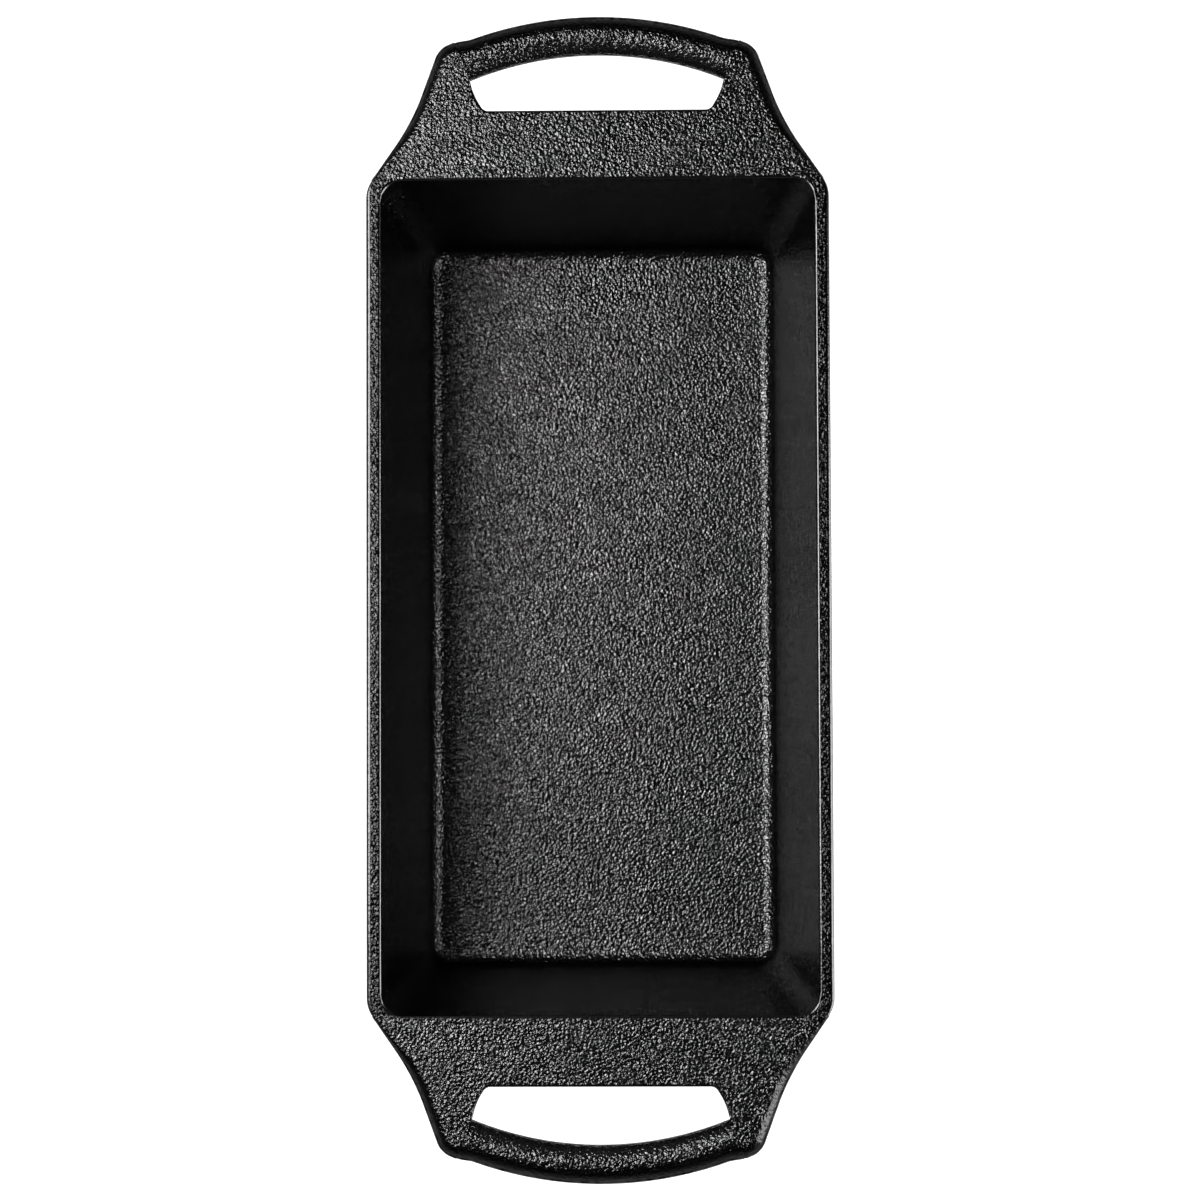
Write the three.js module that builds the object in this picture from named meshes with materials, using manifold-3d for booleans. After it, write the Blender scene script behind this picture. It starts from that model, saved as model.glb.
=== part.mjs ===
// Cast iron loaf pan: a drafted rectangular tub with a flat lug, a finger hole and an arched
// round grip at each end. Millimetres, +Z up, length along Y, origin under the centre of the base.
// The real pan is one casting. It is modelled whole, as pattern and core, and then divided on flat
// section planes into floor, walls and handles that meet face to face.
import * as THREE from 'three';
import { mergeVertices } from 'three/addons/utils/BufferGeometryUtils.js';
import Module from 'manifold-3d';

// Whole pan
const OVERALL_LENGTH = 324;
const HEIGHT = 70.5;

// Tub
const MOUTH_WIDTH = 120.3;
const WALL_THICKNESS = 4.25;
const FLOOR_THICKNESS = 5;
const WALL_DRAFT = THREE.MathUtils.degToRad(8.5);
const INNER_CORNER_RADIUS = 6;
const OUTER_CORNER_RADIUS = 9;
const FLOOR_FILLET_RADIUS = 4;
const BASE_EDGE_RADIUS = 7;
const RIM_EDGE_RADIUS = 0.9;

// Handles, at both ends
const HANDLE_REACH = 42.3;
const LUG_THICKNESS = 9;
const LUG_EDGE_LAND = 0.6;
const LUG_COVE_RADIUS = 6;
const LUG_COVE_RUNOUT = 14;
const LUG_ROOT_RADIUS = 2;
const FLANK_ANGLE = THREE.MathUtils.degToRad(34);
const FLANK_LENGTH = 19.5;
const NECK_RADIUS = 68;
const EAR_WIDTH = 8.7;
const SHOULDER_RADIUS = 6;
const SHOULDER_RISE = 0.8;
const WEB_DEPTH = 15.2;
const HOLE_MOUTH_WIDTH = 71;
const HOLE_ROOT_WIDTH = 63;
const HOLE_CORNER_RADIUS = 2.2;
const HOLE_SIDE_BULGE = 0.7;
const HOLE_SIDE_RADIUS = 15;
const HOLE_EDGE_RADIUS = 0.8;
const GRIP_ARC_RADIUS = 99;
const GRIP_WIDTH = 10.8;
const GRIP_DEPTH = 9.6;
const GRIP_DROP = 0.3;
const GRIP_ROOT_LENGTH = 5;

// Smoothness of the facets, and how far a cutting solid runs past what it cuts
const ARC_STEPS = 6;
const ROLL_STEPS = 4;
const GRIP_STEPS = 20;
const GRIP_ROOT_STEPS = 4;
const GRIP_SIDES = 24;
const CUT_MARGIN = 10;

const halfOverallLength = OVERALL_LENGTH / 2;
const halfRimLength = halfOverallLength - HANDLE_REACH;
const halfMouthLength = halfRimLength - WALL_THICKNESS;
const halfMouthWidth = MOUTH_WIDTH / 2;
const halfRimWidth = halfMouthWidth + WALL_THICKNESS;
const draftRun = (height) => height * Math.tan(WALL_DRAFT);

const wasm = await Module();
wasm.setup();

function toSolid(geometry) {
  const bare = geometry.clone();
  bare.deleteAttribute('normal');
  bare.deleteAttribute('uv');
  const merged = mergeVertices(bare);
  const vertProperties = new Float32Array(merged.attributes.position.array);
  const triVerts = new Uint32Array(merged.index.array);
  return new wasm.Manifold(new wasm.Mesh({ numProp: 3, vertProperties, triVerts }));
}

function toGeometry(solid) {
  const { vertProperties, triVerts } = solid.getMesh();
  const geometry = new THREE.BufferGeometry();
  geometry.setAttribute('position', new THREE.BufferAttribute(vertProperties, 3));
  geometry.setIndex(new THREE.BufferAttribute(triVerts, 1));
  geometry.computeVertexNormals();
  return geometry;
}

// Points along straight runs between corners, where every corner but the two ends is rounded by
// its own radius. Two corners that share a run take no more than half of it each.
function roundedRun(corners) {
  const lastCorner = corners.length - 1;
  const points = [new THREE.Vector2(corners[0].x, corners[0].y)];
  for (let i = 1; i < lastCorner; i += 1) {
    const { x, y } = corners[i];
    const back = new THREE.Vector2(corners[i - 1].x - x, corners[i - 1].y - y);
    const ahead = new THREE.Vector2(corners[i + 1].x - x, corners[i + 1].y - y);
    const roomBack = i === 1 ? back.length() : back.length() / 2;
    const roomAhead = i === lastCorner - 1 ? ahead.length() : ahead.length() / 2;
    back.normalize();
    ahead.normalize();
    const halfAngle = Math.acos(back.dot(ahead)) / 2;
    const room = Math.min(roomBack, roomAhead) * Math.tan(halfAngle);
    const radius = Math.min(corners[i].radius, room);
    const tangent = radius / Math.tan(halfAngle);
    const toCentre = back.clone().add(ahead).setLength(radius / Math.sin(halfAngle));
    const from = back.clone().multiplyScalar(tangent).sub(toCentre).angle();
    const to = ahead.clone().multiplyScalar(tangent).sub(toCentre).angle();
    const clockwise = back.cross(ahead) > 0;
    const centre = toCentre.clone().add(new THREE.Vector2(x, y));
    const arc = new THREE.ArcCurve(centre.x, centre.y, radius, from, to, clockwise);
    points.push(...arc.getPoints(ARC_STEPS));
  }
  points.push(new THREE.Vector2(corners[lastCorner].x, corners[lastCorner].y));
  return points;
}

function roundedRectangle(halfWidth, halfLength, radius) {
  const quarter = Math.PI / 2;
  const signs = [[1, 1], [-1, 1], [-1, -1], [1, -1]];
  return signs.flatMap(([signX, signY], i) => {
    const x = signX * (halfWidth - radius);
    const y = signY * (halfLength - radius);
    const corner = new THREE.ArcCurve(x, y, radius, i * quarter, (i + 1) * quarter, false);
    return corner.getPoints(ARC_STEPS);
  });
}

// Skin over a row of outlines with equal counts of points, closed by a flat cap at each end. Each
// outline runs anticlockwise in its own frame, whose z axis points along the row.
function loft(sections) {
  const count = sections[0].outline.length;
  const positions = [];
  const index = [];
  for (const { outline, frame } of sections) {
    for (const { x, y } of outline) {
      positions.push(...new THREE.Vector3(x, y, 0).applyMatrix4(frame).toArray());
    }
  }
  for (let row = 0; row < sections.length - 1; row += 1) {
    for (let i = 0; i < count; i += 1) {
      const here = row * count + i;
      const next = row * count + ((i + 1) % count);
      index.push(here, next, next + count, here, next + count, here + count);
    }
  }
  const lastRow = (sections.length - 1) * count;
  for (const [a, b, c] of THREE.ShapeUtils.triangulateShape(sections[0].outline, [])) {
    index.push(c, b, a);
  }
  for (const [a, b, c] of THREE.ShapeUtils.triangulateShape(sections.at(-1).outline, [])) {
    index.push(lastRow + a, lastRow + b, lastRow + c);
  }
  const geometry = new THREE.BufferGeometry();
  geometry.setAttribute('position', new THREE.Float32BufferAttribute(positions, 3));
  geometry.setIndex(index);
  return geometry;
}

// Block whose four sides follow one drafted wall profile. The profile's x is measured outwards
// from the edge at the rim and its y is the height.
function draftedBlock(profile, halfWidth, halfLength, cornerRadius) {
  const sections = profile.map(({ x, y }) => {
    const offWall = x + draftRun(HEIGHT - y);
    return {
      outline: roundedRectangle(halfWidth + x, halfLength + x, cornerRadius + offWall),
      frame: new THREE.Matrix4().makeTranslation(0, 0, y),
    };
  });
  return toSolid(loft(sections));
}

function tubPattern() {
  const foot = -draftRun(HEIGHT);
  const profile = roundedRun([
    { x: foot - halfRimWidth, y: 0 },
    { x: foot, y: 0, radius: BASE_EDGE_RADIUS },
    { x: 0, y: HEIGHT, radius: RIM_EDGE_RADIUS },
    { x: -halfRimWidth, y: HEIGHT },
  ]).slice(1, -1);
  return draftedBlock(profile, halfRimWidth, halfRimLength, OUTER_CORNER_RADIUS);
}

function tubCore() {
  const foot = -draftRun(HEIGHT - FLOOR_THICKNESS);
  const profile = roundedRun([
    { x: foot - halfMouthWidth, y: FLOOR_THICKNESS },
    { x: foot, y: FLOOR_THICKNESS, radius: FLOOR_FILLET_RADIUS },
    { x: 0, y: HEIGHT, radius: RIM_EDGE_RADIUS },
    { x: WALL_THICKNESS, y: HEIGHT },
  ]).slice(1, -1);
  const lip = profile.at(-1);
  profile.push(new THREE.Vector2(lip.x, lip.y + CUT_MARGIN));
  return draftedBlock(profile, halfMouthWidth, halfMouthLength, INNER_CORNER_RADIUS);
}

// The grip is an arc about a point on the centre line. Radial planes at both of its ends are the
// seats where it meets the ears.
const gripArcCentreY = halfOverallLength - GRIP_ARC_RADIUS - GRIP_WIDTH / 2;
const gripInnerRadius = GRIP_ARC_RADIUS - GRIP_WIDTH / 2;
const gripOuterRadius = GRIP_ARC_RADIUS + GRIP_WIDTH / 2;
const gripHalfAngle = Math.asin(HOLE_MOUTH_WIDTH / 2 / gripInnerRadius);

function onSeat(radius) {
  return new THREE.Vector2(
    radius * Math.sin(gripHalfAngle),
    gripArcCentreY + radius * Math.cos(gripHalfAngle),
  );
}

// Angles of the grip's sections, from seat to seat: close together in each root, and even between.
function gripAngles() {
  const rootAngle = GRIP_ROOT_LENGTH / gripOuterRadius;
  const plainAngle = gripHalfAngle - rootAngle;
  const root = [];
  for (let step = 0; step < GRIP_ROOT_STEPS; step += 1) {
    root.push(gripHalfAngle - rootAngle * (step / GRIP_ROOT_STEPS));
  }
  const plain = [];
  for (let step = 0; step <= GRIP_STEPS; step += 1) {
    plain.push(THREE.MathUtils.lerp(-plainAngle, plainAngle, step / GRIP_STEPS));
  }
  return [...root.map((angle) => -angle), ...plain, ...root.reverse()];
}

// Oval bar whose outer side swells at both roots, up to the shoulder of the ear that it seats on.
function handleGrip() {
  const section = new THREE.EllipseCurve(0, 0, GRIP_WIDTH / 2, GRIP_DEPTH / 2);
  const oval = section.getPoints(GRIP_SIDES).slice(0, -1);
  const centreHeight = HEIGHT - GRIP_DROP - GRIP_DEPTH / 2;
  const sections = [];
  for (const angle of gripAngles()) {
    const fromSeat = (gripHalfAngle - Math.abs(angle)) * gripOuterRadius;
    const swell = SHOULDER_RISE * (1 - THREE.MathUtils.smoothstep(fromSeat, 0, GRIP_ROOT_LENGTH));
    const stretchOut = 1 + swell / (GRIP_WIDTH / 2);
    const outline = oval.map(({ x, y }) => new THREE.Vector2(x > 0 ? x * stretchOut : x, y));
    const outwards = new THREE.Vector3(Math.sin(angle), Math.cos(angle), 0);
    const up = new THREE.Vector3(0, 0, 1);
    const along = outwards.clone().cross(up);
    const centre = outwards.clone().multiplyScalar(GRIP_ARC_RADIUS);
    const frame = new THREE.Matrix4().makeBasis(outwards, up, along);
    frame.setPosition(centre.x, gripArcCentreY + centre.y, centreHeight);
    sections.push({ outline, frame });
  }
  return loft(sections);
}

// Right-hand edge of the lug in plan, from the tub's corner out to the seat of the grip: a flank
// that leaves the corner at a tangent, a hollow neck and a rounded shoulder.
function flankRun() {
  const outwards = new THREE.Vector2(Math.cos(FLANK_ANGLE), Math.sin(FLANK_ANGLE));
  const flankWay = new THREE.Vector2(-outwards.y, outwards.x);
  const flankStart = new THREE.Vector2(
    halfRimWidth - OUTER_CORNER_RADIUS,
    halfRimLength - OUTER_CORNER_RADIUS,
  ).addScaledVector(outwards, OUTER_CORNER_RADIUS);
  const rootTangent = LUG_ROOT_RADIUS * Math.tan(FLANK_ANGLE / 2);
  const root = flankStart.clone().addScaledVector(flankWay, -rootTangent);
  const neck = flankStart.clone().addScaledVector(flankWay, FLANK_LENGTH);
  const seatEnd = onSeat(gripOuterRadius + SHOULDER_RISE);
  const shoulderX = HOLE_MOUTH_WIDTH / 2 + EAR_WIDTH;
  const shoulder = new THREE.Vector2(
    shoulderX,
    seatEnd.y - (shoulderX - seatEnd.x) * Math.tan(gripHalfAngle),
  );
  return roundedRun([
    { x: root.x, y: root.y - rootTangent - LUG_ROOT_RADIUS },
    { x: root.x, y: root.y, radius: LUG_ROOT_RADIUS },
    { x: neck.x, y: neck.y, radius: NECK_RADIUS },
    { x: shoulder.x, y: shoulder.y, radius: SHOULDER_RADIUS },
    { x: seatEnd.x, y: seatEnd.y },
  ]);
}

// Edge of the finger hole in plan, from the right-hand seat to the middle of the web.
function holeRun() {
  const seat = onSeat(gripInnerRadius);
  const rootCorner = new THREE.Vector2(HOLE_ROOT_WIDTH / 2, halfRimLength + WEB_DEPTH);
  const sideWay = seat.clone().sub(rootCorner).normalize();
  const sideOut = new THREE.Vector2(sideWay.y, -sideWay.x);
  const middle = seat.clone().add(rootCorner).divideScalar(2);
  const side = middle.addScaledVector(sideOut, HOLE_SIDE_BULGE);
  return roundedRun([
    { x: seat.x, y: seat.y },
    { x: side.x, y: side.y, radius: HOLE_SIDE_RADIUS },
    { x: rootCorner.x, y: rootCorner.y, radius: HOLE_CORNER_RADIUS },
    { x: 0, y: rootCorner.y },
  ]);
}

// Points of one stretch of the lug's outline, each with the radius that rounds the edge before it
// and the edge after it. A stretch ends at a plain corner, past which the edge stays sharp.
function stretch(points, radiusAt) {
  return points.map((point, i) => ({
    point,
    before: i === 0 ? 0 : radiusAt(point),
    after: i === points.length - 1 ? 0 : radiusAt(point),
  }));
}

// Closed outline of the lug's right half. Its rounding swells from the rim's small radius at the
// root to the full rolled edge past the neck, and runs out on the hole's side just before the seat.
function halfLugOutline(rolledEdge) {
  const flank = flankRun();
  const hole = holeRun();
  const rootY = flank[0].y;
  const swell = ({ y }) => THREE.MathUtils.lerp(
    RIM_EDGE_RADIUS,
    rolledEdge,
    THREE.MathUtils.smoothstep(y, rootY, halfRimLength + WEB_DEPTH),
  );
  const runOut = ({ y }) => THREE.MathUtils.lerp(
    HOLE_EDGE_RADIUS,
    0,
    THREE.MathUtils.smoothstep(y, hole[1].y, hole[0].y),
  );
  return [
    ...stretch(flank, swell),
    ...stretch(hole, runOut),
    ...stretch([new THREE.Vector2(0, rootY)], () => 0),
  ];
}

// Draws an anticlockwise outline in by as much as its rounded edges have drawn in at a depth.
function drawnIn(outline, depth) {
  const inwardOf = outline.map(({ point }, i) => {
    const way = outline[(i + 1) % outline.length].point.clone().sub(point).normalize();
    return new THREE.Vector2(-way.y, way.x);
  });
  return outline.map(({ point, before, after }, i) => {
    const last = inwardOf.at(i - 1);
    const next = inwardOf[i];
    const lastInset = edgeInset(depth, before);
    const nextInset = edgeInset(depth, after);
    const bisector = last.clone().add(next);
    const move = bisector.multiplyScalar((lastInset + nextInset) / bisector.lengthSq());
    if (lastInset !== nextInset) {
      const slide = last.clone().sub(next);
      move.addScaledVector(slide, (lastInset - nextInset) / slide.lengthSq());
    }
    return point.clone().add(move);
  });
}

// How far a rounded edge has drawn in at a depth below the face that it starts from.
function edgeInset(depth, radius) {
  const below = Math.max(radius - depth, 0);
  return radius - Math.sqrt(radius * radius - below * below);
}

// Right half of the flat lug, with a rolled edge round its outside, above and below a narrow land at
// mid-thickness.
function halfLug() {
  const rolledEdge = (LUG_THICKNESS - LUG_EDGE_LAND) / 2;
  const outline = halfLugOutline(rolledEdge);
  const depths = [];
  for (let step = 0; step <= ROLL_STEPS; step += 1) {
    depths.push(rolledEdge * (1 - Math.cos((step / ROLL_STEPS) * (Math.PI / 2))));
  }
  const underside = HEIGHT - LUG_THICKNESS;
  const levels = [
    ...depths.map((depth) => ({ depth, height: underside + depth })),
    ...depths.map((depth) => ({ depth, height: HEIGHT - depth })).reverse(),
  ];
  const sections = levels.map(({ depth, height }) => ({
    outline: drawnIn(outline, depth),
    frame: new THREE.Matrix4().makeTranslation(0, 0, height),
  }));
  return loft(sections);
}

// Concave fillet under the lug, along the straight run of the end wall. It runs out at both ends, where
// its section shrinks to half its size about its inner corner and so sinks into the iron.
function lugCove() {
  const underside = HEIGHT - LUG_THICKNESS;
  const wallAt = (height) => halfRimLength - draftRun(HEIGHT - height);
  const reach = 2 * LUG_COVE_RADIUS;
  const hollow = roundedRun([
    { x: wallAt(underside - reach), y: underside - reach },
    { x: wallAt(underside), y: underside, radius: LUG_COVE_RADIUS },
    { x: wallAt(underside) + reach, y: underside },
  ]).slice(1, -1);
  const inWall = hollow[0].x - WALL_THICKNESS / 2;
  const inLug = underside + LUG_THICKNESS / 2;
  const innerCorner = new THREE.Vector2(inWall, inLug);
  const outline = [
    ...hollow,
    new THREE.Vector2(hollow.at(-1).x, inLug),
    innerCorner.clone(),
    new THREE.Vector2(inWall, hollow[0].y),
  ].map((point) => point.sub(innerCorner));
  const runOutEnd = halfRimWidth - OUTER_CORNER_RADIUS;
  const fullEnd = runOutEnd - LUG_COVE_RUNOUT;
  const stations = [
    { x: -runOutEnd, scale: 0.5 },
    { x: -fullEnd, scale: 1 },
    { x: fullEnd, scale: 1 },
    { x: runOutEnd, scale: 0.5 },
  ];
  return loft(stations.map(({ x, scale }) => {
    const frame = new THREE.Matrix4().makeBasis(
      new THREE.Vector3(0, scale, 0),
      new THREE.Vector3(0, 0, scale),
      new THREE.Vector3(1, 0, 0),
    );
    frame.setPosition(x, inWall, inLug);
    return { outline, frame };
  }));
}

// Left-hand twin of a right-hand skin, wound so that it still faces outwards.
function mirrored(geometry) {
  const twin = geometry.clone().scale(-1, 1, 1);
  twin.setIndex([...twin.index.array].reverse());
  return twin;
}

// Half a turn about the pan's upright axis.
const halfTurn = (geometry) => geometry.clone().scale(-1, -1, 1);

// Pattern less core gives the whole casting, apart from the two grips.
function panCasting() {
  const rightHalf = halfLug();
  const rearHandle = [rightHalf, mirrored(rightHalf), lugCove()];
  const bothHandles = [...rearHandle, ...rearHandle.map(halfTurn)];
  const pattern = bothHandles.reduce((sum, skin) => sum.add(toSolid(skin)), tubPattern());
  return pattern.subtract(tubCore());
}

const casting = panCasting();
const grip = handleGrip();

// Section planes: round the flat middle of the floor, and through the middle of the end walls' rim.
const footWidth = halfMouthWidth - draftRun(HEIGHT - FLOOR_THICKNESS);
const footLength = halfMouthLength - draftRun(HEIGHT - FLOOR_THICKNESS);
const footStrip = FLOOR_FILLET_RADIUS + INNER_CORNER_RADIUS;
const floorX = footWidth - footStrip;
const floorY = footLength - footStrip;
const lugY = halfMouthLength + WALL_THICKNESS / 2;
const outsideX = halfRimWidth + CUT_MARGIN;
const outsideY = halfOverallLength + CUT_MARGIN;

function region(xFrom, xTo, yFrom, yTo) {
  const tall = HEIGHT + 2 * CUT_MARGIN;
  const cell = new THREE.BoxGeometry(xTo - xFrom, yTo - yFrom, tall);
  cell.translate((xFrom + xTo) / 2, (yFrom + yTo) / 2, HEIGHT / 2);
  return casting.intersect(toSolid(cell));
}

const IRON_COLOUR = 0x2a2a2b;
const IRON_ROUGHNESS = 0.5;
const IRON_METALNESS = 0.55;

const loafPan = new THREE.Group();

function place(name, solid) {
  const seasonedIron = new THREE.MeshStandardMaterial({
    color: IRON_COLOUR,
    roughness: IRON_ROUGHNESS,
    metalness: IRON_METALNESS,
  });
  const mesh = new THREE.Mesh(toGeometry(solid), seasonedIron);
  mesh.name = name;
  loafPan.add(mesh);
}

place('base_plate', region(-floorX, floorX, -floorY, floorY));
place('side_wall_left', region(-outsideX, -floorX, -floorY, floorY));
place('side_wall_right', region(floorX, outsideX, -floorY, floorY));
place('end_wall_front', region(-outsideX, outsideX, -lugY, -floorY));
place('end_wall_rear', region(-outsideX, outsideX, floorY, lugY));
place('handle_web_front', region(-outsideX, outsideX, -outsideY, -lugY));
place('handle_web_rear', region(-outsideX, outsideX, lugY, outsideY));
place('handle_grip_front', toSolid(halfTurn(grip)));
place('handle_grip_rear', toSolid(grip));

export default loafPan;
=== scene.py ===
import math

import bmesh
import bpy
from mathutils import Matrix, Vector


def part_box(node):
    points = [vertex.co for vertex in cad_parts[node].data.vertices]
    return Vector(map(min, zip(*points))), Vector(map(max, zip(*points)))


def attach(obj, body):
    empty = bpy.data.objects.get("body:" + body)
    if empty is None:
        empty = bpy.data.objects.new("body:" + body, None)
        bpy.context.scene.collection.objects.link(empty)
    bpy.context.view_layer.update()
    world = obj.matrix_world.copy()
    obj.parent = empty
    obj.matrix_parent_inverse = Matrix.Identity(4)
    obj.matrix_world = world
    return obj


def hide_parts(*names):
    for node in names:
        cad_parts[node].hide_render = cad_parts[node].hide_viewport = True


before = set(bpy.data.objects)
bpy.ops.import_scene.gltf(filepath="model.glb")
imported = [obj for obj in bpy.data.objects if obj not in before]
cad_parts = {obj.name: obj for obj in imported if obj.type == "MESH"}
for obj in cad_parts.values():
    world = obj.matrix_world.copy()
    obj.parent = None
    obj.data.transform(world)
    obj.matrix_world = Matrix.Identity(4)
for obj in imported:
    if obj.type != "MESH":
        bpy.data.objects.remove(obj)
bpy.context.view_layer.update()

# Tub: the drafted iron box that holds the loaf, poured in one go with everything else on the pan.
# The mould gives every wall its draft, and rolls the base edge, the floor's corner and the rim.
MM = 0.001
RIM_HALF_WIDTH = 64.4 * MM
RIM_HALF_LENGTH = 119.7 * MM
WALL_THICKNESS = 4.25 * MM
WALL_DRAFT = math.radians(8.5)
OUTER_CORNER_RADIUS = 9 * MM
INNER_CORNER_RADIUS = 6 * MM
BASE_EDGE_RADIUS = 7 * MM
FLOOR_FILLET_RADIUS = 4 * MM
RIM_EDGE_RADIUS = 0.9 * MM
CORNER_SEGMENTS = 12
FILLET_SEGMENTS = 10
RIM_SEGMENTS = 6
HAIR = 0.01 * MM
FACING = 0.5
LEVEL = 0.99

rim_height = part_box("side_wall_right")[1].z
floor_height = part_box("base_plate")[1].z
mouth_half_width = RIM_HALF_WIDTH - WALL_THICKNESS
mouth_half_length = RIM_HALF_LENGTH - WALL_THICKNESS


def draft_run(height):
    return height * math.tan(WALL_DRAFT)


def edge_setback(radius, corner_angle):
    return radius / math.tan(corner_angle / 2)


def start_edit(piece):
    bpy.ops.object.select_all(action="DESELECT")
    piece.select_set(True)
    bpy.context.view_layer.objects.active = piece
    bpy.ops.object.mode_set(mode="EDIT")
    bpy.ops.mesh.select_all(action="DESELECT")


def end_edit():
    bpy.ops.object.mode_set(mode="OBJECT")
    bpy.ops.object.select_all(action="DESELECT")


def pick(piece, kind, wanted):
    """Selects only the corners, edges or faces of a piece that pass a test."""
    bpy.ops.mesh.select_mode(type={"verts": "VERT", "edges": "EDGE", "faces": "FACE"}[kind])
    bpy.ops.mesh.select_all(action="DESELECT")
    shape = bmesh.from_edit_mesh(piece.data)
    for part in getattr(shape, kind):
        part.select_set(wanted(part))
    shape.select_flush_mode()
    bmesh.update_edit_mesh(piece.data)


def lies_at(edge, height):
    return all(abs(vert.co.z - height) < HAIR for vert in edge.verts)


def is_upright(edge):
    low, high = sorted(edge.verts, key=lambda vert: vert.co.z)
    return high.co.z - low.co.z > floor_height


def is_outside(edge):
    top = max(edge.verts, key=lambda vert: vert.co.z)
    return abs(top.co.x) > mouth_half_width + HAIR or abs(top.co.y) > mouth_half_length + HAIR


def is_rim_edge(edge):
    flat_faces = [face for face in edge.link_faces if face.normal.z > LEVEL]
    return lies_at(edge, rim_height) and len(flat_faces) == 1


bpy.ops.object.select_all(action="DESELECT")
bpy.ops.mesh.primitive_cube_add(size=1, location=(0, 0, rim_height / 2))
casting = bpy.context.object
casting.name = "casting"
casting.scale = (2 * RIM_HALF_WIDTH, 2 * RIM_HALF_LENGTH, rim_height)
bpy.ops.object.transform_apply(location=True, rotation=False, scale=True)

start_edit(casting)
pick(casting, "faces", lambda face: face.normal.z < -FACING)
bpy.ops.transform.resize(
    value=(
        1 - draft_run(rim_height) / RIM_HALF_WIDTH,
        1 - draft_run(rim_height) / RIM_HALF_LENGTH,
        1,
    ),
    center_override=(0, 0, 0),
)
pick(casting, "faces", lambda face: face.normal.z > FACING)
bpy.ops.mesh.inset(thickness=WALL_THICKNESS)
cavity_depth = rim_height - floor_height
bpy.ops.mesh.extrude_region_move(TRANSFORM_OT_translate={"value": (0, 0, -cavity_depth)})
bpy.ops.transform.resize(
    value=(
        1 - draft_run(cavity_depth) / mouth_half_width,
        1 - draft_run(cavity_depth) / mouth_half_length,
        1,
    ),
    center_override=(0, 0, floor_height),
)
pick(casting, "edges", lambda edge: is_upright(edge) and is_outside(edge))
bpy.ops.mesh.bevel(offset=OUTER_CORNER_RADIUS, segments=CORNER_SEGMENTS, affect="EDGES")
pick(casting, "edges", lambda edge: is_upright(edge) and not is_outside(edge))
bpy.ops.mesh.bevel(offset=INNER_CORNER_RADIUS, segments=CORNER_SEGMENTS, affect="EDGES")

blunt_angle = math.pi / 2 + WALL_DRAFT
keen_angle = math.pi / 2 - WALL_DRAFT
pick(casting, "edges", lambda edge: lies_at(edge, floor_height))
bpy.ops.mesh.bevel(
    offset=edge_setback(FLOOR_FILLET_RADIUS, blunt_angle),
    segments=FILLET_SEGMENTS,
    affect="EDGES",
)
pick(casting, "edges", lambda edge: lies_at(edge, 0))
bpy.ops.mesh.bevel(
    offset=edge_setback(BASE_EDGE_RADIUS, blunt_angle),
    segments=FILLET_SEGMENTS,
    affect="EDGES",
)
pick(casting, "edges", lambda edge: is_rim_edge(edge) and is_outside(edge))
bpy.ops.mesh.bevel(
    offset=edge_setback(RIM_EDGE_RADIUS, keen_angle),
    segments=RIM_SEGMENTS,
    affect="EDGES",
)
pick(casting, "edges", lambda edge: is_rim_edge(edge) and not is_outside(edge))
bpy.ops.mesh.bevel(
    offset=edge_setback(RIM_EDGE_RADIUS, blunt_angle),
    segments=RIM_SEGMENTS,
    affect="EDGES",
)
end_edit()

# Handle lugs: a flat iron web at each end that flares out of the rim and splits into two ears.
# Its outer edge is rolled in the mould, thin at the rim and full at the ears, and a cove that runs
# out towards both corners of the tub carries the load into the end wall.
LUG_THICKNESS = 9 * MM
LUG_EDGE_LAND = 0.6 * MM
LUG_ROOT_INSET = WALL_THICKNESS / 3
LUG_COVE_RADIUS = 6 * MM
LUG_COVE_RUNOUT = 14 * MM
COVE_END_SCALE = 0.5
FLANK_ANGLE = math.radians(34)
FLANK_LENGTH = 19.5 * MM
NECK_RADIUS = 68 * MM
EAR_WIDTH = 8.7 * MM
SHOULDER_RADIUS = 6 * MM
SHOULDER_RISE = 0.8 * MM
WEB_DEPTH = 15.2 * MM
HOLE_MOUTH_WIDTH = 71 * MM
HOLE_ROOT_WIDTH = 63 * MM
HOLE_CORNER_RADIUS = 2.2 * MM
HOLE_SIDE_BULGE = 0.7 * MM
HOLE_SIDE_RADIUS = 15 * MM
HOLE_EDGE_RADIUS = 0.8 * MM
GRIP_ARC_RADIUS = 99 * MM
GRIP_WIDTH = 10.8 * MM
PLAN_SEGMENTS = 12
ROLL_SEGMENTS = 8
COVE_FACETS = 128
SORT_PLACE = Vector((310, 170, 530)) * MM

grip_arc_centre_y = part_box("handle_grip_rear")[1].y - GRIP_ARC_RADIUS - GRIP_WIDTH / 2
grip_inner_radius = GRIP_ARC_RADIUS - GRIP_WIDTH / 2
grip_outer_radius = GRIP_ARC_RADIUS + GRIP_WIDTH / 2
grip_half_angle = math.asin(HOLE_MOUTH_WIDTH / 2 / grip_inner_radius)
underside = rim_height - LUG_THICKNESS
rolled_edge = (LUG_THICKNESS - LUG_EDGE_LAND) / 2


def on_seat(radius):
    return Vector((
        radius * math.sin(grip_half_angle),
        grip_arc_centre_y + radius * math.cos(grip_half_angle),
    ))


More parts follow.
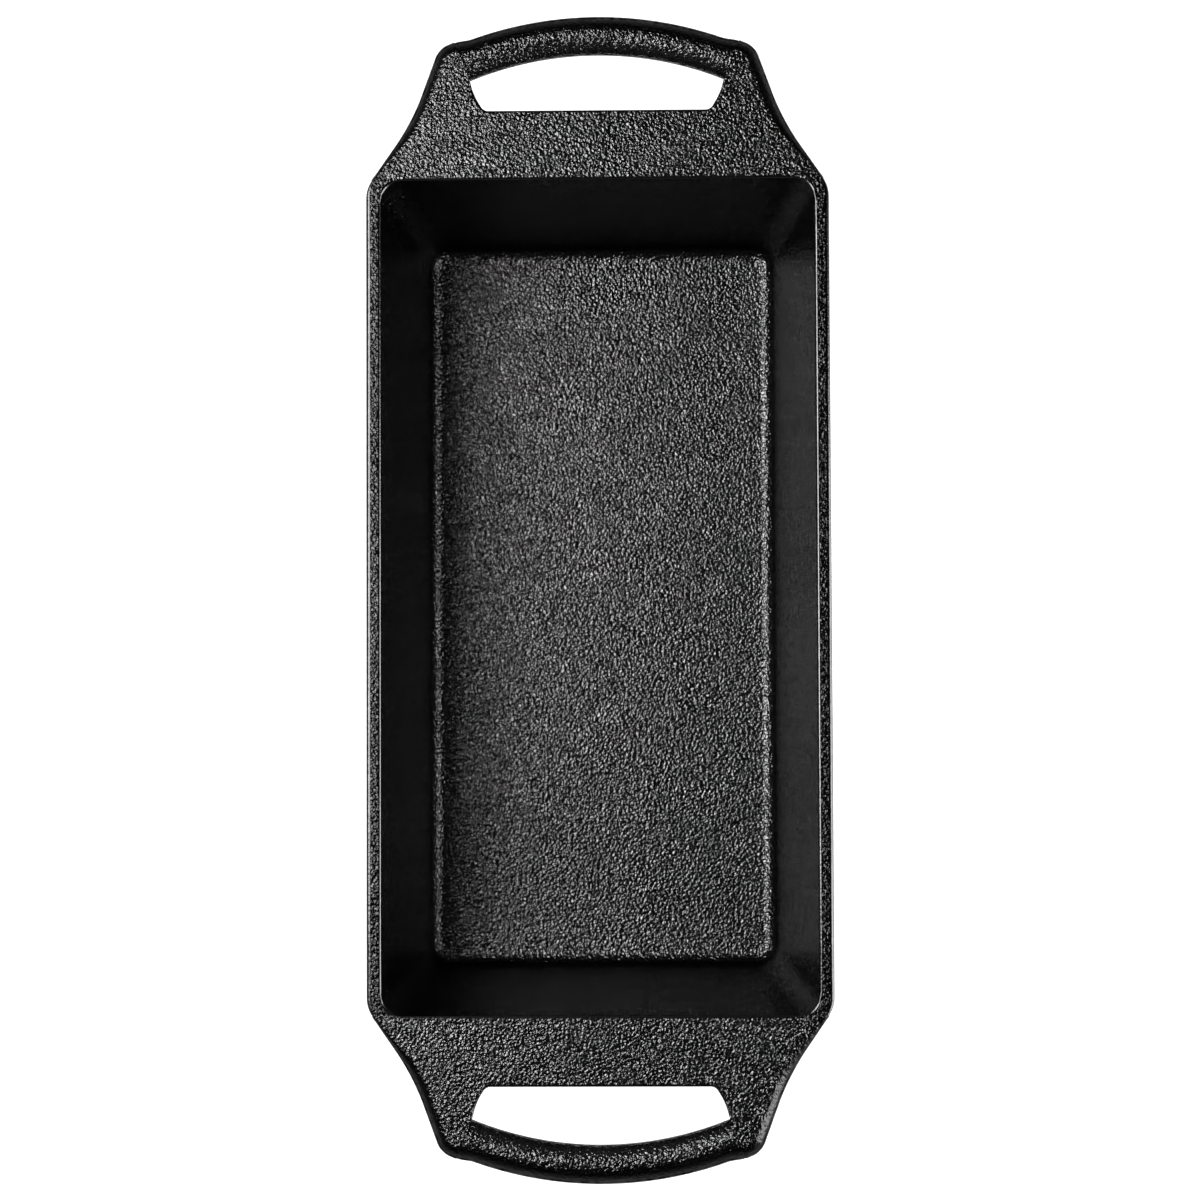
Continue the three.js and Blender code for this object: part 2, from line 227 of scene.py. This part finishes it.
corner_centre = Vector((RIM_HALF_WIDTH, RIM_HALF_LENGTH)) - Vector((1, 1)) * OUTER_CORNER_RADIUS
flank_out = Vector((math.cos(FLANK_ANGLE), math.sin(FLANK_ANGLE)))
flank_start = corner_centre + flank_out * OUTER_CORNER_RADIUS
lug_root = Vector((corner_centre.x, mouth_half_length + LUG_ROOT_INSET))
along_root = (lug_root - flank_start).normalized()
neck = flank_start + flank_out.orthogonal() * FLANK_LENGTH
seat_end = on_seat(grip_outer_radius + SHOULDER_RISE)
shoulder_x = HOLE_MOUTH_WIDTH / 2 + EAR_WIDTH
shoulder_y = seat_end.y - (shoulder_x - seat_end.x) * math.tan(grip_half_angle)
shoulder = Vector((shoulder_x, shoulder_y))
seat_start = on_seat(grip_inner_radius)
hole_corner = Vector((HOLE_ROOT_WIDTH / 2, RIM_HALF_LENGTH + WEB_DEPTH))
side_way = (seat_start - hole_corner).normalized()
hole_side = (seat_start + hole_corner) / 2 - side_way.orthogonal() * HOLE_SIDE_BULGE


def mirror_x(point):
    return Vector((-point.x, point.y))


def is_at(place, point):
    return (Vector((abs(place.x), place.y)) - point).length < HAIR


def smooth_step(value, low, high):
    share = min(max((value - low) / (high - low), 0), 1)
    return share * share * (3 - 2 * share)


def lug_edge_radius(point):
    """Radius that rounds the lug's edge, above and below, at a point of its plan."""
    if is_at(point, lug_root):
        return 0
    if point.y < seat_start.y + HAIR and abs(point.x) < seat_start.x + HAIR:
        return HOLE_EDGE_RADIUS * (1 - smooth_step(point.y, hole_side.y, seat_start.y))
    swell = smooth_step(point.y, flank_start.y, hole_corner.y)
    return RIM_EDGE_RADIUS + (rolled_edge - RIM_EDGE_RADIUS) * swell


def lug_edge_inward(last, point, after):
    """Way in which a point of the plan draws in, for each unit that its edge draws in."""
    side = math.copysign(1, point.x)
    if is_at(point, seat_end):
        along_seat = (seat_start - seat_end).normalized()
        return Vector((side * along_seat.x, along_seat.y))
    if is_at(point, flank_start):
        return Vector((side * along_root.x, along_root.y)) / -along_root.dot(flank_out)
    first = (point - last).normalized().orthogonal()
    second = (after - point).normalized().orthogonal()
    return (first + second) / (1 + first.dot(second))


def drawn_in(depth, radius):
    """How far a rounded edge has drawn in at a depth below the face that it starts from."""
    below = max(radius - depth, 0)
    return radius - math.sqrt(radius * radius - below * below)


right_corners = [
    lug_root,
    flank_start,
    neck,
    shoulder,
    seat_end,
    seat_start,
    hole_side,
    hole_corner,
]
plan_corners = right_corners + [mirror_x(point) for point in reversed(right_corners)]
corner_radii = [
    (neck, NECK_RADIUS),
    (shoulder, SHOULDER_RADIUS),
    (hole_side, HOLE_SIDE_RADIUS),
    (hole_corner, HOLE_CORNER_RADIUS),
]

bpy.ops.mesh.primitive_circle_add(vertices=len(plan_corners), fill_type="NGON")
lug = bpy.context.object
lug.name = "lug"
start_edit(lug)
shape = bmesh.from_edit_mesh(lug.data)
shape.faces.ensure_lookup_table()
for vert, corner in zip(shape.faces[0].verts, plan_corners):
    vert.co = (corner.x, corner.y, underside)
bmesh.update_edit_mesh(lug.data)
for corner, radius in corner_radii:
    place = plan_corners.index(corner)
    angle = (plan_corners[place - 1] - corner).angle(plan_corners[place + 1] - corner)
    pick(lug, "verts", lambda vert: is_at(vert.co, corner))
    bpy.ops.mesh.bevel(
        offset=edge_setback(radius, angle),
        segments=PLAN_SEGMENTS,
        affect="VERTICES",
    )

pick(lug, "faces", lambda face: True)
shape = bmesh.from_edit_mesh(lug.data)
shape.faces.ensure_lookup_table()
plan = [vert.co.xy for vert in shape.faces[0].verts]
plan_inward = [
    lug_edge_inward(plan[place - 1], point, plan[(place + 1) % len(plan)])
    for place, point in enumerate(plan)
]
roll_depths = [
    rolled_edge * (1 - math.cos(math.pi / 2 * step / ROLL_SEGMENTS))
    for step in range(ROLL_SEGMENTS + 1)
]
levels = [(depth, underside + depth) for depth in roll_depths]
levels += [(depth, rim_height - depth) for depth in reversed(roll_depths)]
ring = plan
for depth, height in levels:
    if depth > 0 or height > underside:
        bpy.ops.mesh.extrude_region_move()
    drawn = [
        point + inward * drawn_in(depth, lug_edge_radius(point))
        for point, inward in zip(plan, plan_inward)
    ]
    shape = bmesh.from_edit_mesh(lug.data)
    top = next(face for face in shape.faces if face.select)
    for vert in top.verts:
        place = min(range(len(ring)), key=lambda i: (ring[i] - vert.co.xy).length_squared)
        vert.co = (drawn[place].x, drawn[place].y, height)
    bmesh.update_edit_mesh(lug.data)
    ring = drawn
bpy.ops.mesh.select_all(action="SELECT")
bpy.ops.mesh.normals_make_consistent(inside=False)
end_edit()


def join_iron(piece, other, operation):
    """Adds or cuts another piece by a boolean, and clears that other piece away."""
    cut = piece.modifiers.new(operation.lower(), "BOOLEAN")
    cut.operation = operation
    cut.solver = "MANIFOLD"
    cut.object = other
    bpy.context.view_layer.objects.active = piece
    bpy.ops.object.modifier_apply(modifier=cut.name)
    bpy.data.objects.remove(other)


def sort_selected():
    """Sorts by distance from one place, because joins and spins leave a new order each time."""
    bpy.context.scene.cursor.location = SORT_PLACE
    bpy.ops.mesh.sort_elements(type="CURSOR_DISTANCE", elements={"VERT", "EDGE", "FACE"})
    bpy.context.scene.cursor.location = (0, 0, 0)


cove_centre_z = underside - LUG_COVE_RADIUS
cove_wall_y = RIM_HALF_LENGTH - draft_run(rim_height - cove_centre_z)
cove_centre_y = cove_wall_y + LUG_COVE_RADIUS / math.cos(WALL_DRAFT)
cove_run = 2 * (corner_centre.x - LUG_COVE_RUNOUT)
cove_low = Vector((0, cove_wall_y - WALL_THICKNESS / 2, cove_centre_z))
cove_high = Vector((0, cove_centre_y, underside + LUG_THICKNESS / 2))
bpy.ops.mesh.primitive_cube_add(size=1, location=(cove_low + cove_high) / 2)
cove = bpy.context.object
cove.scale = cove_high - cove_low
cove.scale.x = cove_run
bpy.ops.object.transform_apply(location=True, rotation=False, scale=True)
bpy.ops.mesh.primitive_cylinder_add(
    vertices=COVE_FACETS,
    radius=LUG_COVE_RADIUS,
    depth=cove_run + LUG_THICKNESS,
    location=(0, cove_centre_y, cove_centre_z),
    rotation=(0, math.pi / 2, 0),
)
join_iron(cove, bpy.context.object, "DIFFERENCE")
start_edit(cove)
for way in (1, -1):
    pick(cove, "faces", lambda face: face.normal.x * way > FACING)
    run_out = Vector((way * LUG_COVE_RUNOUT, 0, 0))
    bpy.ops.mesh.extrude_region_move(TRANSFORM_OT_translate={"value": run_out})
    bpy.ops.transform.resize(
        value=(1, COVE_END_SCALE, COVE_END_SCALE),
        center_override=(0, cove_low.y, cove_high.z),
    )
end_edit()
join_iron(lug, cove, "UNION")

bpy.ops.object.select_all(action="DESELECT")
lug.select_set(True)
bpy.context.view_layer.objects.active = lug
bpy.ops.object.duplicate()
front_lug = bpy.context.object
front_lug.rotation_euler.z = math.pi
bpy.ops.object.transform_apply(location=False, rotation=True, scale=False)
join_iron(casting, lug, "UNION")
join_iron(casting, front_lug, "UNION")
start_edit(casting)
bpy.ops.mesh.select_all(action="SELECT")
bpy.ops.mesh.remove_doubles(threshold=HAIR)
sort_selected()
end_edit()

# Base plate: the flat floor slab that the pan stands on, and the first piece cut from the casting.
# All of the iron is black from oil baked onto it, over the pebbly skin that the sand mould leaves.
GRAIN_SIZE = 0.85 * MM
GRAIN_DETAIL = 1
GRAIN_DISTORTION = 0.4
GRAIN_DEPTH = 0.45 * MM
SPECK_SIZE = 2 * MM
SPECK_DETAIL = 0
MOTTLE_SIZE = 9 * MM
MOTTLE_DETAIL = 3
PATTERN_LOW = 0.3
PATTERN_HIGH = 0.7
IRON_DARK = (0.051, 0.051, 0.051, 1)
IRON_PALE = (0.062, 0.062, 0.062, 1)
ROUGHNESS_LOW = 0.16
ROUGHNESS_HIGH = 0.23
EDGE_SHINE_LOW = 0.6
EDGE_SHINE_HIGH = 0.88
SMOOTH_RELIEF = 0.12
# Painted shade: the share of colour and edge shine that the darkened faces keep.
PAINTED_SHADE_LEVEL = 0.5
PAINTED_RIM_SHADE_FADE = 5 * MM
FLAT_RISE = 0.995
SLOPED_RISE = 0.97
SMOOTH_ANGLE = math.radians(35)
FLAT_TURN = math.radians(0.5)


def add_node(tree, kind, **values):
    """Adds a shader node and sets the values of its inputs, each named with _ for a space."""
    node = tree.nodes.new("ShaderNode" + kind)
    for name, value in values.items():
        node.inputs[name.replace("_", " ")].default_value = value
    return node


def add_noise(tree, place, size, **values):
    """Adds a cloudy pattern of a given size, laid out by a place socket, and gives its level."""
    noise = add_node(tree, "TexNoise", Scale=1 / size, **values)
    tree.links.new(place, noise.inputs["Vector"])
    return noise.outputs["Fac"]


def add_range(tree, value, **limits):
    """Carries a socket's value over from one span to another, and gives the result."""
    span = add_node(tree, "MapRange", **limits)
    tree.links.new(value, span.inputs["Value"])
    return span.outputs["Result"]


def add_math(tree, operation, first, second):
    """Works out one value from those of two sockets, and gives the result."""
    math_node = add_node(tree, "Math")
    math_node.operation = operation
    tree.links.new(first, math_node.inputs[0])
    tree.links.new(second, math_node.inputs[1])
    return math_node.outputs["Value"]


def add_axis(tree, vector, axis):
    """Takes one axis out of a socket's vector."""
    split = add_node(tree, "SeparateXYZ")
    tree.links.new(vector, split.inputs["Vector"])
    return split.outputs[axis]


def add_mark(tree, name):
    """Reads how strongly the faces of a piece are marked."""
    mark = add_node(tree, "Attribute")
    mark.attribute_name = name
    return mark.outputs["Fac"]


def make_iron():
    """Oil-blacked iron with a grain of soft pebbles, a wide mottle and dull specks.

    Faces marked smooth have less grain. Faces with the painted shade mark, and the up-facing flats
    of the two long rims, are darkened as painted shade, in colour and in edge shine.
    """
    iron = bpy.data.materials.new("blacked_iron")
    iron.use_nodes = True
    tree = iron.node_tree
    shader = tree.nodes["Principled BSDF"]
    shader.inputs["Metallic"].default_value = 1
    place = add_node(tree, "TexCoord").outputs["Object"]
    grain = add_noise(tree, place, GRAIN_SIZE, Detail=GRAIN_DETAIL, Distortion=GRAIN_DISTORTION)
    speck = add_noise(tree, place, SPECK_SIZE, Detail=SPECK_DETAIL)
    mottle = add_noise(tree, place, MOTTLE_SIZE, Detail=MOTTLE_DETAIL)

    relief = add_range(tree, add_mark(tree, "smooth"), To_Min=1, To_Max=SMOOTH_RELIEF)
    bump = add_node(tree, "Bump", Distance=GRAIN_DEPTH)
    tree.links.new(relief, bump.inputs["Strength"])
    tree.links.new(grain, bump.inputs["Height"])
    tree.links.new(bump.outputs["Normal"], shader.inputs["Normal"])

    # Painted shade: the up-facing flats of the two long rims are darkened, fading in towards the
    # mouth.
    off_centre = add_node(tree, "VectorMath")
    off_centre.operation = "ABSOLUTE"
    tree.links.new(place, off_centre.inputs["Vector"])
    at_rim = add_range(
        tree,
        add_axis(tree, off_centre.outputs["Vector"], "X"),
        From_Min=mouth_half_width - PAINTED_RIM_SHADE_FADE,
        From_Max=mouth_half_width,
    )
    facing = add_node(tree, "NewGeometry").outputs["Normal"]
    is_flat = add_range(
        tree, add_axis(tree, facing, "Z"), From_Min=SLOPED_RISE, From_Max=FLAT_RISE
    )
    painted_rim_shade = add_math(tree, "MULTIPLY", at_rim, is_flat)
    # The stronger of the two painted shades sets how far the colour and edge shine are darkened.
    painted_shade = add_math(tree, "MAXIMUM", add_mark(tree, "painted_shade"), painted_rim_shade)
    painted_darkening = add_range(tree, painted_shade, To_Min=1, To_Max=PAINTED_SHADE_LEVEL)

    shade = add_node(tree, "ValToRGB")
    dark_stop, pale_stop = shade.color_ramp.elements
    dark_stop.position = PATTERN_LOW
    dark_stop.color = IRON_DARK
    pale_stop.position = PATTERN_HIGH
    pale_stop.color = IRON_PALE
    tree.links.new(mottle, shade.inputs["Fac"])
    # Painted shade darkens the mottled colour.
    colour_with_painted_shade = add_node(tree, "VectorMath")
    colour_with_painted_shade.operation = "SCALE"
    tree.links.new(shade.outputs["Color"], colour_with_painted_shade.inputs["Vector"])
    tree.links.new(painted_darkening, colour_with_painted_shade.inputs["Scale"])
    tree.links.new(colour_with_painted_shade.outputs["Vector"], shader.inputs["Base Color"])

    wear = add_range(
        tree,
        mottle,
        From_Min=PATTERN_LOW,
        From_Max=PATTERN_HIGH,
        To_Min=ROUGHNESS_HIGH,
        To_Max=ROUGHNESS_LOW,
    )
    tree.links.new(wear, shader.inputs["Roughness"])
    edge_shine = add_range(
        tree,
        speck,
        From_Min=PATTERN_LOW,
        From_Max=PATTERN_HIGH,
        To_Min=EDGE_SHINE_LOW,
        To_Max=EDGE_SHINE_HIGH,
    )
    # Painted shade darkens the edge shine as well.
    shine_with_painted_shade = add_math(tree, "MULTIPLY", edge_shine, painted_darkening)
    tree.links.new(shine_with_painted_shade, shader.inputs["Specular Tint"])
    return iron


def cut_out(name, sections):
    """Copies the casting and keeps what lies behind each flat section, free of slivers.

    A section is given as a place on it and its way out.
    """
    bpy.ops.object.select_all(action="DESELECT")
    casting.select_set(True)
    bpy.context.view_layer.objects.active = casting
    bpy.ops.object.duplicate()
    piece = bpy.context.object
    piece.name = name
    start_edit(piece)
    for place, outward in sections:
        bpy.ops.mesh.select_all(action="SELECT")
        bpy.ops.mesh.bisect(
            plane_co=place,
            plane_no=outward,
            use_fill=True,
            clear_outer=True,
            threshold=HAIR,
        )
    bpy.ops.mesh.select_all(action="SELECT")
    bpy.ops.mesh.remove_doubles(threshold=HAIR)
    bpy.ops.mesh.dissolve_degenerate(threshold=HAIR)
    bpy.ops.mesh.dissolve_limited(angle_limit=FLAT_TURN)
    bpy.ops.mesh.quads_convert_to_tris(quad_method="BEAUTY", ngon_method="BEAUTY")
    end_edit()
    return piece


def finish_iron(piece, node):
    """Smooths the shading of a piece, blacks it and puts it in the place of its CAD node."""
    bpy.ops.object.select_all(action="DESELECT")
    piece.select_set(True)
    bpy.context.view_layer.objects.active = piece
    bpy.ops.object.shade_smooth_by_angle(angle=SMOOTH_ANGLE)
    weigh = piece.modifiers.new("weigh_normals", "WEIGHTED_NORMAL")
    weigh.keep_sharp = True
    bpy.ops.object.modifier_apply(modifier=weigh.name)
    piece.data.materials.clear()
    piece.data.materials.append(blacked_iron)
    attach(piece, "root")
    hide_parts(node)


blacked_iron = make_iron()
floor_low, floor_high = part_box("base_plate")
lug_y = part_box("handle_web_rear")[0].y
RIGHT = Vector((1, 0, 0))
LEFT = Vector((-1, 0, 0))
REAR = Vector((0, 1, 0))
FRONT = Vector((0, -1, 0))
between_ends = [(floor_high, REAR), (floor_low, FRONT)]

pan_floor = cut_out("pan_floor", between_ends + [(floor_high, RIGHT), (floor_low, LEFT)])
finish_iron(pan_floor, "base_plate")

# Side walls: the two long drafted walls, each with its strip of floor, its fillet and its rim.
# They are one with the floor in the real casting, and meet it here on a flat section. The rolled
# edges of the rim were rubbed smooth when the casting was cleaned; its flats get painted shade.
STEEP_RISE = 0.1


def rub_rim(piece):
    """Marks the rolled edges of the rim as smooth, for the material to flatten the grain there."""
    smooth = piece.data.attributes.new("smooth", "FLOAT", "FACE")
    for face in piece.data.polygons:
        is_rolled = STEEP_RISE < face.normal.z < FLAT_RISE
        if is_rolled and face.center.z > rim_height - RIM_EDGE_RADIUS:
            smooth.data[face.index].value = 1


left_side = cut_out("left_side", between_ends + [(floor_low, RIGHT)])
rub_rim(left_side)
finish_iron(left_side, "side_wall_left")
right_side = cut_out("right_side", between_ends + [(floor_high, LEFT)])
rub_rim(right_side)
finish_iron(right_side, "side_wall_right")

# End walls: the two short drafted walls, each with the tub's rounded upright corners.
# The handle lugs grow out of their outer faces, level with the rim.
rear_end = cut_out("rear_end", [(floor_high, FRONT), (Vector((0, lug_y, 0)), REAR)])
rub_rim(rear_end)
finish_iron(rear_end, "end_wall_rear")
front_end = cut_out("front_end", [(floor_low, REAR), (Vector((0, -lug_y, 0)), FRONT)])
rub_rim(front_end)
finish_iron(front_end, "end_wall_front")

# Handle webs: the lugs from the middle of the end wall's rim outward, with their two ears.
# Nothing fixes them, because they were poured with the walls. Their rolled outer
# edges are smooth, and where they face up they are darkened with painted shade.
ROLL_FLAT = 0.99
ROLL_STEEP = 0.94
ROLL_SIDE = 0.1
ROLL_SHOULDER = 0.4
ROLL_SMOOTHNESS = 0.75


def smooth_roll_and_paint_shade(piece):
    """Marks a handle's outer rolled edges as smooth, and with painted shade where they face up."""
    smooth = piece.data.attributes.new("smooth", "FLOAT", "FACE")
    painted_shade = piece.data.attributes.new("painted_shade", "FLOAT", "FACE")
    for face in piece.data.polygons:
        rise = face.normal.z
        faces_out = face.normal.xy.dot(face.center.xy) > 0
        if faces_out and face.center.z > underside:
            steepness = 1 - smooth_step(abs(rise), ROLL_STEEP, ROLL_FLAT)
            smooth.data[face.index].value = ROLL_SMOOTHNESS * steepness
            # Painted shade: the rolled faces that face up are marked to be darkened.
            painted_shade.data[face.index].value = steepness * smooth_step(rise, ROLL_SIDE, ROLL_SHOULDER)


rear_web = cut_out("rear_web", [(Vector((0, lug_y, 0)), FRONT)])
smooth_roll_and_paint_shade(rear_web)
finish_iron(rear_web, "handle_web_rear")
front_web = cut_out("front_web", [(Vector((0, -lug_y, 0)), REAR)])
smooth_roll_and_paint_shade(front_web)
finish_iron(front_web, "handle_web_front")
bpy.data.objects.remove(casting)

# Handle grips: an arched iron bar, oval in section, that closes each finger hole between the ears.
# It is cast with the ears too, and seats on them along planes through the arc's centre. Its outer
# side swells at both roots, up to the shoulders of the ears.
GRIP_DEPTH = 9.6 * MM
GRIP_DROP = 0.3 * MM
GRIP_ROOT_LENGTH = 5 * MM
GRIP_SECTION_SIDES = 32
GRIP_STEPS = 96

grip_height = rim_height - GRIP_DROP - GRIP_DEPTH / 2
for name, node, turn in (
    ("rear_grip", "handle_grip_rear", 0),
    ("front_grip", "handle_grip_front", math.pi),
):
    bpy.ops.object.select_all(action="DESELECT")
    bpy.ops.mesh.primitive_circle_add(vertices=GRIP_SECTION_SIDES, radius=0.5, fill_type="NGON")
    grip = bpy.context.object
    grip.name = name
    grip.scale = (GRIP_WIDTH, GRIP_DEPTH, 1)
    grip.rotation_euler.x = math.pi / 2
    bpy.ops.object.transform_apply(location=False, rotation=True, scale=True)
    grip.location = (GRIP_ARC_RADIUS, 0, 0)
    bpy.ops.object.transform_apply(location=True, rotation=False, scale=False)
    grip.rotation_euler.z = math.pi / 2 + grip_half_angle
    bpy.ops.object.transform_apply(location=False, rotation=True, scale=False)
    start_edit(grip)
    bpy.ops.mesh.select_all(action="SELECT")
    bpy.ops.mesh.spin(
        steps=GRIP_STEPS,
        angle=2 * grip_half_angle,
        center=(0, 0, 0),
        axis=(0, 0, 1),
        use_auto_merge=False,
    )
    bpy.ops.mesh.select_all(action="SELECT")
    bpy.ops.mesh.normals_make_consistent(inside=False)
    sort_selected()
    shape = bmesh.from_edit_mesh(grip.data)
    for vert in shape.verts:
        radius = vert.co.xy.length
        from_seat = (grip_half_angle - abs(math.atan2(vert.co.x, vert.co.y))) * grip_outer_radius
        swell = SHOULDER_RISE * (1 - smooth_step(from_seat, 0, GRIP_ROOT_LENGTH))
        outer_share = max(radius - GRIP_ARC_RADIUS, 0) / (GRIP_WIDTH / 2)
        vert.co.xy *= 1 + swell * outer_share / radius
    bmesh.update_edit_mesh(grip.data)
    end_edit()
    grip.location = (0, grip_arc_centre_y, grip_height)
    grip.select_set(True)
    bpy.context.view_layer.objects.active = grip
    bpy.ops.object.transform_apply(location=True, rotation=False, scale=False)
    grip.rotation_euler.z = turn
    bpy.ops.object.transform_apply(location=False, rotation=True, scale=False)
    smooth_roll_and_paint_shade(grip)
    finish_iron(grip, node)

# Floor: a plain sheet of white paper under the pan, lit from below like a light table.
# The glow makes it white in view and in reflections, and it keeps the pan's soft shadow.
FLOOR_SIZE = 6
FLOOR_COLOUR = (0.45, 0.45, 0.45, 1)
FLOOR_GLOW_COLOUR = (1, 1, 1, 1)
FLOOR_GLOW = 0.85

bpy.ops.object.select_all(action="DESELECT")
bpy.ops.mesh.primitive_plane_add(size=FLOOR_SIZE, location=(0, 0, -HAIR))
floor = bpy.context.object
floor.name = "floor"
paper = bpy.data.materials.new("white_paper")
paper.use_nodes = True
paper_tree = paper.node_tree
paper_shader = paper_tree.nodes["Principled BSDF"]
paper_shader.inputs["Base Color"].default_value = FLOOR_COLOUR
paper_shader.inputs["Roughness"].default_value = 1
paper_shader.inputs["Specular IOR Level"].default_value = 0
paper_shader.inputs["Emission Color"].default_value = FLOOR_GLOW_COLOUR
ray = add_node(paper_tree, "LightPath").outputs
seen = add_math(paper_tree, "MAXIMUM", ray["Is Camera Ray"], ray["Is Glossy Ray"])
shown = add_math(paper_tree, "MAXIMUM", seen, ray["Is Transmission Ray"])
glow = add_range(paper_tree, shown, To_Max=FLOOR_GLOW)
paper_tree.links.new(glow, paper_shader.inputs["Emission Strength"])
floor.data.materials.append(paper)

# Light: a softbox above the pan on its left and a lower one on its right, about half a metre wide.
# The room around them is dim overhead and lighter towards the horizon, where its pale walls are.
KEY_PLACE = Vector((-410, 90, 715)) * MM
KEY_SIZE = 0.46
KEY_POWER = 10
FILL_PLACE = Vector((565, -145, 220)) * MM
FILL_SIZE = 0.55
FILL_POWER = 9.4
ROOM_COLOUR = (1, 1, 1, 1)
ROOM_STRENGTH = 0.02
HORIZON_STRENGTH = 0.5
HORIZON_RISE = 0.55


def add_softbox(name, place, size, power):
    bpy.ops.object.light_add(type="AREA", location=place)
    lamp = bpy.context.object
    lamp.name = name
    lamp.data.size = size
    lamp.data.energy = power
    aim = Vector((0, 0, rim_height)) - place
    lamp.rotation_euler = aim.to_track_quat("-Z", "Y").to_euler()


add_softbox("key_softbox", KEY_PLACE, KEY_SIZE, KEY_POWER)
add_softbox("fill_panel", FILL_PLACE, FILL_SIZE, FILL_POWER)
scene = bpy.context.scene
scene.world = bpy.data.worlds.new("dim_room")
scene.world.use_nodes = True
room_tree = scene.world.node_tree
room = room_tree.nodes["Background"]
room.inputs["Color"].default_value = ROOM_COLOUR
look_way = add_node(room_tree, "TexCoord").outputs["Generated"]
room_light = add_range(
    room_tree,
    add_axis(room_tree, look_way, "Z"),
    From_Max=HORIZON_RISE,
    To_Min=HORIZON_STRENGTH,
    To_Max=ROOM_STRENGTH,
)
room_tree.links.new(room_light, room.inputs["Strength"])
scene.view_settings.view_transform = "Standard"

# Camera: the pan is seen from nearly straight above, from a little to the front and right.
# A slight roll of the camera turns the pan a hair in the frame.
CAMERA_PLACE = Vector((15.9, -37.8, 914.4)) * MM
CAMERA_TARGET = Vector((0.37, -1.37, 70.5)) * MM
CAMERA_ROLL = math.radians(-0.247)
CAMERA_LENS = 91.92
CAMERA_SENSOR = 36

bpy.ops.object.camera_add(location=CAMERA_PLACE)
camera = bpy.context.object
camera.name = "camera"
camera.data.sensor_width = CAMERA_SENSOR
camera.data.lens = CAMERA_LENS
sight = Vector((0, 0, -1)).rotation_difference(CAMERA_TARGET - CAMERA_PLACE)
camera.rotation_euler = sight.to_euler()
camera.rotation_euler.rotate_axis("Z", CAMERA_ROLL)
scene.camera = camera
